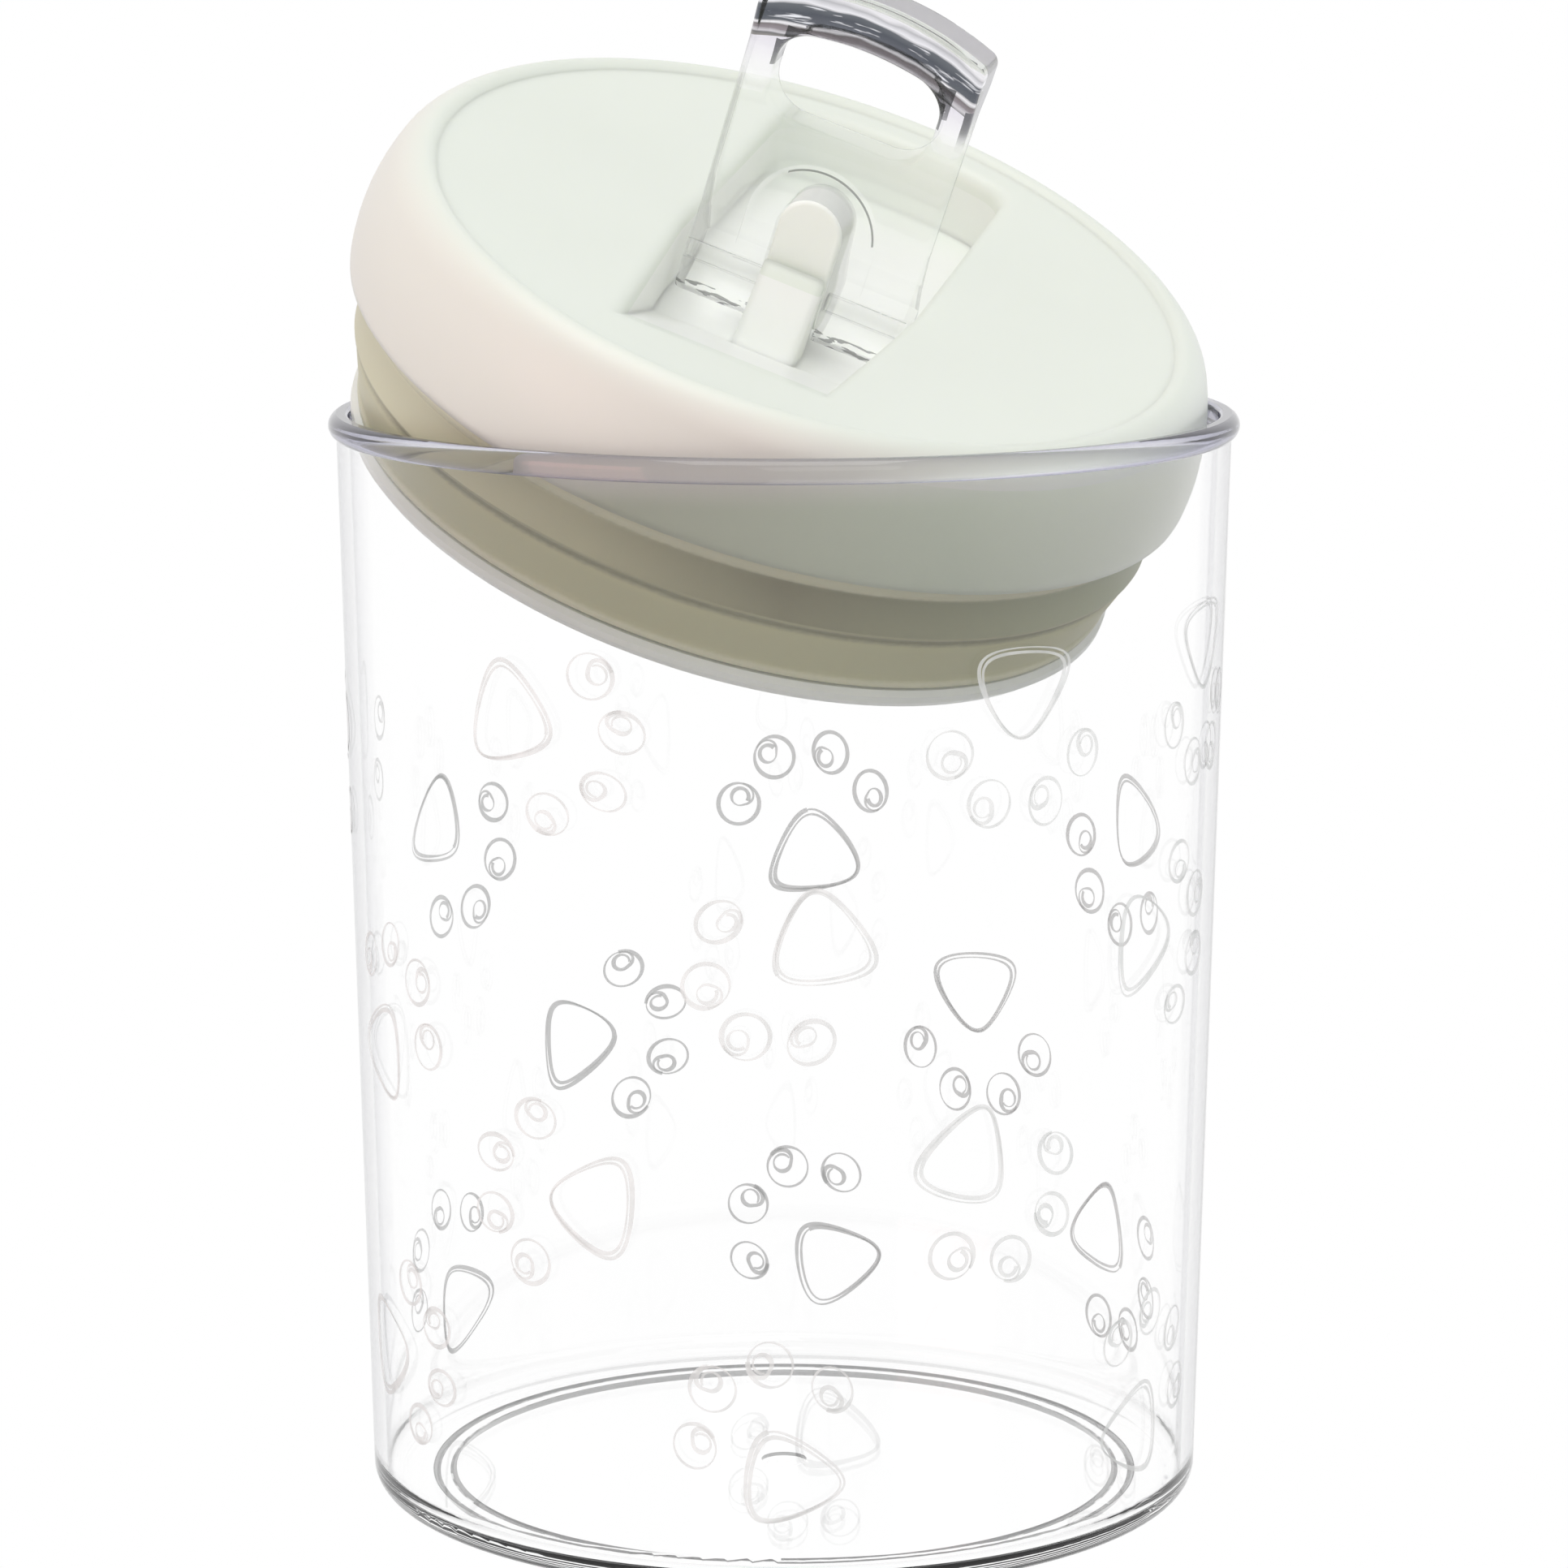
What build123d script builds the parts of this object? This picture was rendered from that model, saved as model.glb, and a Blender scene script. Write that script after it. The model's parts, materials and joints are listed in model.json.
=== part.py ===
"""Pet treat jar: a clear tapered jar and a flip-lock lid that lies tipped in its mouth.

Units are millimetres, +Z is up, and the origin is the centre of the jar's foot.
The lid is drawn in its own frame: origin on the lid's axis at the lower edge of the
cover, x along the lever's pin, y towards the back, z up the lid's axis. LID_FRAME then
puts every lid piece where it lies in the mouth, one side low and the lever upright.
"""
from build123d import *
from math import cos, pi, radians, sin
import os

# Jar
JAR_HEIGHT = 176.6
RIM_RADIUS = 72.5
BEAD_HEIGHT = 3.8
MOUTH_WALL_RADIUS = 71.2
BASE_WALL_RADIUS = 67.2
WALL = 2.0
LIP_ROUND = 0.8
FLOOR_TOP = 4.2
FLOOR_UNDERSIDE = 1.2
HEEL_RADIUS = 4.0
INNER_HEEL_RADIUS = 3.0
FOOT_OUTER = 57.4
FOOT_INNER = 53.9
GATE_RADIUS = 3.7
GATE_DEPTH = 0.6

# Where the lid lies in the mouth
LID_ORIGIN = (-1.8, 1.5, 183.8)
LID_TILT = 25.75
LID_LEAN_AZIMUTH = -50.3
LEVER_TURN = -11.5

# Lid cover, heights above its lower edge
COVER_EDGE_RADIUS = 69.2
COVER_RADIUS = 69.6
BELLY_HEIGHT = 5.5
SHOULDER_RADIUS = 66.9
SHOULDER_LEVEL = 17.6
CREST_RADIUS = 62.8
CREST_HEIGHT = 21.6
DISH_RADIUS = 60.5
DISH_EDGE_HEIGHT = 20.6
DISH_CENTRE_HEIGHT = 18.2
COVER_WALL = 2.2

# Well in the cover for the lever
WELL_HALF_WIDTH = 19.8
WELL_FRONT_HALF_WIDTH = 16.2
WELL_BACK = 55.5
WELL_BEND = -3.0
WELL_FLOOR = 5.7
BACK_FLOOR = 8.6
POCKET_BACK = 13.0
RAMP_FOOT = -10.5
RAMP_FRONT = -46.0
RAMP_RISE = 13.9
WELL_WALL = 2.0
WELL_CORNER = 6.0
WELL_EDGE_ROUND = 2.0
ROD_HOLE_RADIUS = 3.6

# Lever, upright
PIVOT_HEIGHT = 13.5
PIN_RADIUS = 1.5
LEVER_HALF_WIDTH = 18.7
LEVER_FOOT_HALF_WIDTH = 18.3
LEVER_CORNER_HEIGHT = 60.6
LEVER_TOP_HEIGHT = 64.3
LEVER_FRONT = -5.0
LEVER_BACK = 5.2
WEB_FRONT = -3.6
WEB_BACK = 3.2
GRIP_BOTTOM = 54.4
WEB_TOP = 51.4
SHOULDER_HEIGHT = 26.0
WINDOW_HALF_WIDTH = 13.6
WINDOW_BOTTOM = 41.3
WINDOW_TOP = 56.7
WINDOW_ARCH = 2.2
WINDOW_CORNER = 6.2
WINDOW_ROUND = 1.2
SLOT_HALF_WIDTH = 5.5
SLOT_CENTRE_HEIGHT = 25.3
COLLAR_RADIUS = 10.8
COLLAR_ROUND = 0.9
LEVER_ROUND = 1.2
LEVER_SWEEP = 2.4
FOOT_FRONT_DROP = 5.0
CAM_START = 7.5
SEAL_TRAVEL = 3.0
CAM_GAP = 0.3

# Cam block between the lever's feet
BLOCK_HALF_WIDTH = 5.2
BLOCK_HUB_RADIUS = 4.9
BLOCK_SET_BACK = 0.2
BLOCK_ROUND = 0.6
EYE_SLOT_HALF_WIDTH = 2.8
EYE_SLOT_RADIUS = 5.6

# Guard in front of the block, one piece with the cover
GUARD_TOP = 19.4
GUARD_FRONT = -13.0
GUARD_GAP = 0.45

# Underside
BASE_RADIUS = 66.9
BASE_TOP = 3.7
SKIRT_RADIUS = 57.6
SKIRT_WALL = 2.4
SKIRT_BOTTOM = -14.0
BOSS_RADIUS = 8.5
BUSH_RADIUS = 5.0
BUSH_BOTTOM = -8.0
ROD_RADIUS = 3.0
RUNNING_GAP = 0.05
THREAD_RADIUS = 2.5
RIB_COUNT = 8
SCREW_RADIUS = 1.5
SCREW_HEAD_RADIUS = 3.2
SCREW_X = 38.0
SCREW_Y = 27.0
SCREW_TIP = 12.0
SCREW_BOSS_RADIUS = 4.0

# Seal and plate
GASKET_TOP = -0.1
GASKET_TOP_RADIUS = 66.7
GASKET_FOLD = -10.6
GASKET_FOLD_RADIUS = 65.6
GASKET_BOTTOM = -21.2
GASKET_BOTTOM_RADIUS = 62.3
GASKET_INNER = 58.0
PLATE_RADIUS = 63.4
PLATE_TOP = -21.5
PLATE_BOTTOM = -24.6
HUB_TOP = -17.6
HUB_RADIUS = 56.8
CAP_RADIUS = 11.0


def lid_frame():
    """The lid's frame in the jar's: tilted, then turned about its own axis."""
    tilt = radians(LID_TILT)
    azimuth = radians(LID_LEAN_AZIMUTH)
    axis = Vector(sin(tilt) * cos(azimuth), sin(tilt) * sin(azimuth), cos(tilt))
    level = Vector(0, 1, 0).cross(axis).normalized()
    pin_direction = level.rotate(Axis((0, 0, 0), axis), LEVER_TURN)
    return Plane(origin=LID_ORIGIN, x_dir=pin_direction, z_dir=axis)


LID_FRAME = lid_frame()


def save(shape, name):
    """Write one node, and one for each lid piece in its place in the mouth."""
    shape.label = name
    export_step(shape, f"parts/{name}.step")


def save_lid_piece(shape, name):
    save(LID_FRAME.location * shape, name)


def turned(points):
    """A closed outline of straight runs in the XZ plane, turned about the Z axis."""
    outline = Plane.XZ * make_face(Polyline(*points, close=True))
    return revolve(outline, Axis.Z)


def disc(radius, bottom, top):
    return Pos(0, 0, bottom) * Cylinder(radius, top - bottom, align=(Align.CENTER, Align.CENTER, Align.MIN))


def side_prism(points, half_width):
    """An outline in (y, z) made into a prism along x, as wide to each side."""
    face = Plane.YZ * make_face(Polyline(*points, close=True))
    return extrude(face, half_width, both=True)


def jar():
    """Tapered wall with a rolled bead at the mouth, a raised floor and a foot ring."""
    draft = (MOUTH_WALL_RADIUS - BASE_WALL_RADIUS) / (JAR_HEIGHT - BEAD_HEIGHT - HEEL_RADIUS)
    heel_z = FLOOR_UNDERSIDE + HEEL_RADIUS
    bead_bottom = JAR_HEIGHT - BEAD_HEIGHT
    bead_middle = JAR_HEIGHT - BEAD_HEIGHT / 2
    mouth_radius = MOUTH_WALL_RADIUS - WALL
    floor_radius = BASE_WALL_RADIUS - WALL - INNER_HEEL_RADIUS
    with BuildSketch(Plane.XZ) as section:
        with BuildLine():
            Polyline((0, FLOOR_UNDERSIDE), (FOOT_INNER, FLOOR_UNDERSIDE), (FOOT_INNER + 0.6, 0),
                     (FOOT_OUTER - 0.6, 0), (FOOT_OUTER, FLOOR_UNDERSIDE),
                     (BASE_WALL_RADIUS - HEEL_RADIUS, FLOOR_UNDERSIDE))
            heel_foot = (BASE_WALL_RADIUS - HEEL_RADIUS, FLOOR_UNDERSIDE)
            RadiusArc(heel_foot, (BASE_WALL_RADIUS, heel_z), -HEEL_RADIUS)
            Line((BASE_WALL_RADIUS, heel_z), (MOUTH_WALL_RADIUS, bead_bottom))
            ThreePointArc((MOUTH_WALL_RADIUS, bead_bottom), (RIM_RADIUS, bead_middle),
                          (MOUTH_WALL_RADIUS, JAR_HEIGHT))
            lip_top = (mouth_radius + LIP_ROUND, JAR_HEIGHT)
            Line((MOUTH_WALL_RADIUS, JAR_HEIGHT), lip_top)
            RadiusArc(lip_top, (mouth_radius, JAR_HEIGHT - LIP_ROUND), -LIP_ROUND)
            floor_side = (BASE_WALL_RADIUS - WALL, FLOOR_TOP + INNER_HEEL_RADIUS)
            Line((mouth_radius, JAR_HEIGHT - LIP_ROUND), floor_side)
            RadiusArc(floor_side, (floor_radius, FLOOR_TOP), INNER_HEEL_RADIUS)
            Polyline((floor_radius, FLOOR_TOP), (0, FLOOR_TOP), (0, FLOOR_UNDERSIDE))
        make_face()
    body = revolve(section.sketch, Axis.Z)
    gate = disc(GATE_RADIUS, FLOOR_UNDERSIDE - 1, FLOOR_UNDERSIDE + GATE_DEPTH)
    return body - gate


def cover_section(inset):
    """Half section of the cover's outside, or of its hollow when inset by the wall."""
    edge = (COVER_EDGE_RADIUS - inset, 0)
    foot = (COVER_RADIUS - 0.15 - inset, 1.2)
    belly = (COVER_RADIUS - inset, BELLY_HEIGHT)
    shoulder = (SHOULDER_RADIUS - inset, SHOULDER_LEVEL - inset / 2)
    crest = (CREST_RADIUS - inset / 2, CREST_HEIGHT - inset)
    dish_edge = (DISH_RADIUS - inset / 2, DISH_EDGE_HEIGHT - inset)
    centre = (0, DISH_CENTRE_HEIGHT - inset)
    half_way = (DISH_RADIUS / 2, (dish_edge[1] + 3 * centre[1]) / 4)
    with BuildSketch(Plane.XZ) as section:
        with BuildLine():
            Polyline((0, 0), edge, foot)
            side = ThreePointArc(foot, belly, shoulder)
            top = TangentArc(shoulder, crest, tangent=side % 1)
            TangentArc(crest, dish_edge, tangent=top % 1)
            ThreePointArc(dish_edge, half_way, centre)
            Line(centre, (0, 0))
        make_face()
    return revolve(section.sketch, Axis.Z)


def well_plan(grow):
    """Plan of the lever's well: round at the back, narrower at the front of the ramp."""
    half = WELL_HALF_WIDTH + grow
    narrow = WELL_FRONT_HALF_WIDTH + grow
    corner = WELL_BACK - 4.0
    front = RAMP_FRONT - grow - 2.0
    with BuildSketch() as plan:
        with BuildLine():
            Polyline((half, corner), (half, WELL_BEND), (narrow, front),
                     (-narrow, front), (-half, WELL_BEND), (-half, corner))
            ThreePointArc((-half, corner), (0, WELL_BACK + grow), (half, corner))
        make_face()
        fillet(plan.vertices().filter_by(lambda v: v.Y > 0.5 * WELL_BACK), WELL_CORNER)
    return plan.sketch


def well_shape(grow, top):
    """The lever's well with a ramp in front, or the block that its walls are cut from when grown."""
    floor = WELL_FLOOR - grow
    back_floor = BACK_FLOOR - grow
    ramp_end = RAMP_FRONT - 4.0
    ramp_end_height = floor + RAMP_RISE * (RAMP_FOOT - ramp_end) / (RAMP_FOOT - RAMP_FRONT)
    step = POCKET_BACK + grow
    back = WELL_BACK + grow + 1
    side = side_prism([(ramp_end, top), (ramp_end, ramp_end_height), (RAMP_FOOT, floor), (step, floor),
                       (step + 2.0, back_floor), (back, back_floor), (back, top)], 2 * WELL_HALF_WIDTH)
    return side & extrude(well_plan(grow), top)


def guard():
    """Sloping guard in front of the cam block; it keeps the lever from going forward."""
    back = LEVER_FRONT - GUARD_GAP
    foot_height = WELL_FLOOR + 0.6
    body = side_prism([(back, WELL_FLOOR - 1), (back, GUARD_TOP - 0.8), (back - 0.8, GUARD_TOP),
                       (GUARD_FRONT, foot_height), (GUARD_FRONT, WELL_FLOOR - 1)], BLOCK_HALF_WIDTH)
    slopes = body.edges().filter_by(lambda e: abs(e.center().X) > 1 and abs(e.tangent_at(0.5).Y) > 0.1
                                    and e.center().Z > WELL_FLOOR + 1)
    return fillet(slopes, BLOCK_ROUND)


def screw_places():
    return [(x, y) for x in (-SCREW_X, SCREW_X) for y in (-SCREW_Y, SCREW_Y)]


def cover_outside(high):
    """The cover's outside with the well sunk in it and the well's edge rounded into the dish."""
    sunk = cover_section(0) - well_shape(0, high)
    well_edge = []
    for edge in sunk.edges():
        reach = edge.bounding_box()
        in_the_dish = reach.min.Z > DISH_CENTRE_HEIGHT and reach.max.Z < DISH_EDGE_HEIGHT
        if in_the_dish and abs(edge.center().X) < WELL_HALF_WIDTH + 1 and edge.length < 2 * WELL_BACK:
            well_edge.append(edge)
    return fillet(well_edge, WELL_EDGE_ROUND)


def lid_cover():
    """Moulded shell with the raised crest, the dish, the lever's well and its guard."""
    high = CREST_HEIGHT + 5
    hollow = cover_section(COVER_WALL) - well_shape(WELL_WALL, high)
    for x, y in screw_places():
        hollow -= Pos(x, y) * disc(SCREW_BOSS_RADIUS, BASE_TOP, DISH_CENTRE_HEIGHT)
    shell = cover_outside(high) - hollow - disc(BASE_RADIUS + 0.1, -1, BASE_TOP)
    shell += guard()
    shell -= disc(ROD_HOLE_RADIUS, BASE_TOP - 1, WELL_FLOOR + 1)
    for x, y in screw_places():
        shell -= Pos(x, y) * disc(SCREW_RADIUS, BASE_TOP - 1, SCREW_TIP)
    return shell


def lid_base():
    """Closes the cover from below: a disc, a skirt inside the seal, ribs and a rod tower."""
    body = disc(BASE_RADIUS, 0, BASE_TOP)
    body += disc(SKIRT_RADIUS, SKIRT_BOTTOM, 0) - disc(SKIRT_RADIUS - SKIRT_WALL, SKIRT_BOTTOM - 1, 0)
    body += disc(BOSS_RADIUS, SKIRT_BOTTOM, 0)
    rib_length = SKIRT_RADIUS - SKIRT_WALL - BOSS_RADIUS + 1.0
    rib = Pos(BOSS_RADIUS + rib_length / 2 - 0.5, 0, -4.0) * Box(rib_length, 1.6, 8.0)
    for turn in range(RIB_COUNT):
        body += Rot(0, 0, turn * 360 / RIB_COUNT) * rib
    body -= disc(BUSH_RADIUS, BUSH_BOTTOM, BASE_TOP + 1)
    body -= disc(ROD_HOLE_RADIUS, SKIRT_BOTTOM - 1, BUSH_BOTTOM + 1)
    for x, y in screw_places():
        body -= Pos(x, y) * disc(SCREW_RADIUS + 0.2, -1, BASE_TOP + 1)
    return body


def base_screws():
    """Four self-tapping screws that hold the base in the cover."""
    screws = []
    for x, y in screw_places():
        screw = disc(SCREW_RADIUS, 0, SCREW_TIP) + disc(SCREW_HEAD_RADIUS, -2.0, 0)
        cross = Pos(0, 0, -1.6) * (Box(3.4, 0.8, 1.2) + Box(0.8, 3.4, 1.2))
        screws.append(Pos(x, y) * (screw - cross))
    return Compound(screws)


def rod_bush():
    tube = disc(BUSH_RADIUS, BUSH_BOTTOM, BASE_TOP)
    return tube - disc(ROD_RADIUS + RUNNING_GAP, BUSH_BOTTOM - 1, BASE_TOP + 1)


def pull_rod():
    """Rod with an eye for the pin at the top and a shoulder and thread for the plate."""
    eye = Pos(0, 0, PIVOT_HEIGHT) * Rot(0, 90, 0) * Cylinder(4.2, 5.0)
    neck = Pos(0, 0, (PIVOT_HEIGHT + WELL_FLOOR) / 2) * Box(5.0, 5.4, PIVOT_HEIGHT - WELL_FLOOR)
    shank = disc(ROD_RADIUS, HUB_TOP, PIVOT_HEIGHT - 5.0)
    thread = disc(THREAD_RADIUS, PLATE_BOTTOM + 1.4, HUB_TOP)
    bore = Pos(0, 0, PIVOT_HEIGHT) * Rot(0, 90, 0) * Cylinder(PIN_RADIUS + RUNNING_GAP, 8.0)
    return eye + (neck & disc(ROD_RADIUS, WELL_FLOOR - 4, PIVOT_HEIGHT)) + shank + thread - bore


def pivot_pin():
    return Pos(0, 0, PIVOT_HEIGHT) * Rot(0, 90, 0) * Cylinder(PIN_RADIUS, 2 * (LEVER_FOOT_HALF_WIDTH - 1.0))


def cam_outline():
    """Side outline of a foot: a spiral cam that pushes the pin away from the well floor."""
    reach = CAM_START - CAM_GAP
    steps = 10
    spiral = []
    for i in range(steps + 1):
        turn = i / steps
        radius = reach + SEAL_TRAVEL * turn
        angle = -pi / 2 + turn * pi / 2
        spiral.append((radius * cos(angle), PIVOT_HEIGHT + radius * sin(angle)))
    return spiral


def lever_side():
    """Side outline of the lever: cam feet, a thinner web and a thick grip bar."""
    cam = cam_outline()
    foot_front = PIVOT_HEIGHT - FOOT_FRONT_DROP
    above = LEVER_TOP_HEIGHT + 2
    with BuildSketch(Plane.YZ) as side:
        with BuildLine():
            Spline(*cam)
            Polyline(cam[-1], (LEVER_BACK + 0.8, SHOULDER_HEIGHT - 6.5), (WEB_BACK, SHOULDER_HEIGHT),
                     (WEB_BACK, WEB_TOP), (LEVER_BACK, GRIP_BOTTOM + 1.5), (LEVER_BACK, above),
                     (LEVER_FRONT, above), (LEVER_FRONT, GRIP_BOTTOM + 3.0), (WEB_FRONT, WEB_TOP),
                     (WEB_FRONT, SHOULDER_HEIGHT - 6.0), (LEVER_FRONT, SHOULDER_HEIGHT - 10.0),
                     (LEVER_FRONT, foot_front), cam[0])
        make_face()
        bends = side.vertices().filter_by(lambda v: PIVOT_HEIGHT + 1 < v.Y < above - 1)
        fillet(bends, LEVER_SWEEP)
    return extrude(side.sketch, LEVER_HALF_WIDTH + 2, both=True)


def front_face(sketch, depth_front, depth_back):
    """A sketch drawn as (x, z) made into a prism between two depths in y."""
    return extrude(Plane((0, depth_back, 0), x_dir=(1, 0, 0), z_dir=(0, -1, 0)) * sketch,
                   depth_back - depth_front)


def slot_outline(half_width, bottom):
    """Straight sides with a round top, open below."""
    with BuildSketch() as slot:
        with BuildLine():
            Line((-half_width, bottom), (half_width, bottom))
            Line((half_width, bottom), (half_width, SLOT_CENTRE_HEIGHT))
            ThreePointArc((half_width, SLOT_CENTRE_HEIGHT), (0, SLOT_CENTRE_HEIGHT + half_width),
                          (-half_width, SLOT_CENTRE_HEIGHT))
            Line((-half_width, SLOT_CENTRE_HEIGHT), (-half_width, bottom))
        make_face()
    return slot.sketch


def lever_outline():
    """Front outline: straight sides that widen upwards and an arched top."""
    with BuildSketch() as outline:
        with BuildLine():
            Polyline((LEVER_HALF_WIDTH, LEVER_CORNER_HEIGHT), (LEVER_FOOT_HALF_WIDTH, WELL_FLOOR - 2),
                     (-LEVER_FOOT_HALF_WIDTH, WELL_FLOOR - 2), (-LEVER_HALF_WIDTH, LEVER_CORNER_HEIGHT))
            ThreePointArc((-LEVER_HALF_WIDTH, LEVER_CORNER_HEIGHT), (0, LEVER_TOP_HEIGHT),
                          (LEVER_HALF_WIDTH, LEVER_CORNER_HEIGHT))
        make_face()
        fillet(outline.vertices().filter_by(lambda v: v.Y > 30), 2.0)
    return outline.sketch


def window_outline():
    """Finger window: a slot with round ends whose top edge is arched like the grip."""
    shoulder = WINDOW_TOP - WINDOW_ARCH
    with BuildSketch() as window:
        with BuildLine():
            Line((-WINDOW_HALF_WIDTH, WINDOW_BOTTOM), (WINDOW_HALF_WIDTH, WINDOW_BOTTOM))
            Line((WINDOW_HALF_WIDTH, WINDOW_BOTTOM), (WINDOW_HALF_WIDTH, shoulder))
            ThreePointArc((WINDOW_HALF_WIDTH, shoulder), (0, WINDOW_TOP),
                          (-WINDOW_HALF_WIDTH, shoulder))
            Line((-WINDOW_HALF_WIDTH, shoulder), (-WINDOW_HALF_WIDTH, WINDOW_BOTTOM))
        make_face()
        fillet(window.vertices(), WINDOW_CORNER)
    return window.sketch


def edge_ring(body, cutter):
    """Edges where the side of a cut along y meets the front and back of a body."""
    sides = cutter.faces().filter_by(lambda face: abs(face.normal_at().Y) < 0.5)
    ring = []
    for edge in body.edges():
        on_a_side = min(side.distance_to(edge @ 0.5) for side in sides) < 0.001
        if on_a_side and abs(edge.tangent_at(0.5).Y) < 0.95:
            ring.append(edge)
    return ring


def lever_blank():
    """The lever without its openings, its outer edges rounded."""
    prism = front_face(lever_outline(), LEVER_FRONT - 5, LEVER_BACK + 12)
    blank = prism & lever_side()
    return fillet(edge_ring(blank, prism), LEVER_ROUND)


def front_edges(body, depth):
    """Edges of the front face above the pin, at a depth in y."""
    in_front = body.edges().filter_by(lambda e: abs(e.center().Y - depth) < 0.1)
    return in_front.filter_by(lambda e: e.center().Z > PIVOT_HEIGHT + 1)


def collar():
    """Raised rim round the slot, rounded in front."""
    rim = front_face(slot_outline(COLLAR_RADIUS, PIVOT_HEIGHT), LEVER_FRONT, WEB_FRONT + 0.5)
    return fillet(front_edges(rim, LEVER_FRONT), COLLAR_ROUND)


def lever():
    """Clear lever with two cam feet, a raised collar round the slot and a finger window."""
    window = front_face(window_outline(), LEVER_FRONT - 5, LEVER_BACK + 10)
    blank = lever_blank() - window
    body = fillet(edge_ring(blank, window), WINDOW_ROUND)
    body += collar()
    body -= front_face(slot_outline(SLOT_HALF_WIDTH, -5), LEVER_FRONT - 5, LEVER_BACK + 15)
    body -= Pos(0, 0, PIVOT_HEIGHT) * Rot(0, 90, 0) * Cylinder(PIN_RADIUS, 60)
    return body


def cam_block():
    """Arch-topped block fixed in the lever's slot; its hub straddles the rod's eye."""
    front = LEVER_FRONT + BLOCK_SET_BACK
    top = front_face(slot_outline(BLOCK_HALF_WIDTH, PIVOT_HEIGHT), front, WEB_BACK - 2 * BLOCK_SET_BACK)
    top = fillet(front_edges(top, front), BLOCK_ROUND)
    hub = Pos(0, 0, PIVOT_HEIGHT) * Rot(0, 90, 0) * Cylinder(BLOCK_HUB_RADIUS, 2 * BLOCK_HALF_WIDTH)
    body = top + hub
    slot = Pos(0, 0, PIVOT_HEIGHT) * Rot(0, 90, 0) * Cylinder(EYE_SLOT_RADIUS, 2 * EYE_SLOT_HALF_WIDTH)
    body -= slot
    body -= Pos(0, 0, PIVOT_HEIGHT) * Rot(0, 90, 0) * Cylinder(PIN_RADIUS, 60)
    return body


def gasket():
    """Soft ring between base and plate, folded outwards at mid height."""
    return turned([(GASKET_INNER, GASKET_TOP), (GASKET_TOP_RADIUS, GASKET_TOP),
                   (GASKET_TOP_RADIUS - 0.2, -3.0), (GASKET_FOLD_RADIUS, GASKET_FOLD),
                   (GASKET_FOLD_RADIUS - 0.4, GASKET_FOLD - 0.8), (GASKET_BOTTOM_RADIUS, GASKET_BOTTOM),
                   (GASKET_INNER, GASKET_BOTTOM)])


def pressure_plate():
    """Round plate under the seal: lip, low hub and a pocket below for the nut."""
    body = turned([(0, HUB_TOP), (HUB_RADIUS, HUB_TOP), (HUB_RADIUS, PLATE_TOP),
                   (PLATE_RADIUS - 0.8, PLATE_TOP), (PLATE_RADIUS, PLATE_TOP - 0.8),
                   (PLATE_RADIUS, PLATE_TOP - 1.8),
                   (PLATE_RADIUS - 1.2, PLATE_BOTTOM), (0, PLATE_BOTTOM)])
    body -= disc(CAP_RADIUS, PLATE_BOTTOM - 1, PLATE_BOTTOM + 1.4)
    body -= disc(CAP_RADIUS - 2.0, PLATE_BOTTOM, PLATE_BOTTOM + 4.4)
    body -= disc(THREAD_RADIUS + 0.1, PLATE_BOTTOM - 1, HUB_TOP + 1)
    return body


def rod_washer():
    ring = disc(6.0, PLATE_BOTTOM + 3.6, PLATE_BOTTOM + 4.4)
    return ring - disc(THREAD_RADIUS + 0.1, PLATE_BOTTOM, PLATE_BOTTOM + 6)


def rod_nut():
    hexagon = Pos(0, 0, PLATE_BOTTOM + 1.5) * extrude(RegularPolygon(4.6, 6), 2.1)
    return hexagon - disc(THREAD_RADIUS, PLATE_BOTTOM, PLATE_BOTTOM + 6)


def plate_cap():
    return disc(CAP_RADIUS - 0.1, PLATE_BOTTOM, PLATE_BOTTOM + 1.3)


def report_places():
    """Print the lid's frame and the pin's middle, which the joints use."""
    pin_middle = LID_FRAME.from_local_coords(Vector(0, 0, PIVOT_HEIGHT))
    print("lid origin", LID_FRAME.origin)
    print("lid x", LID_FRAME.x_dir, "lid y", LID_FRAME.y_dir, "lid z", LID_FRAME.z_dir)
    print("pin middle", pin_middle)


os.makedirs("parts", exist_ok=True)
save(jar(), "jar")
LID_PIECES = {
    "lid_cover": lid_cover, "lid_base": lid_base, "base_screws": base_screws, "rod_bush": rod_bush,
    "pull_rod": pull_rod, "pivot_pin": pivot_pin, "lever": lever, "cam_block": cam_block,
    "gasket": gasket, "pressure_plate": pressure_plate, "rod_washer": rod_washer,
    "rod_nut": rod_nut, "plate_cap": plate_cap,
}
for piece_name, make_piece in LID_PIECES.items():
    save_lid_piece(make_piece(), piece_name)
report_places()
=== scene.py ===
import json
import math

import bpy
from mathutils import Matrix, Vector


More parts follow.
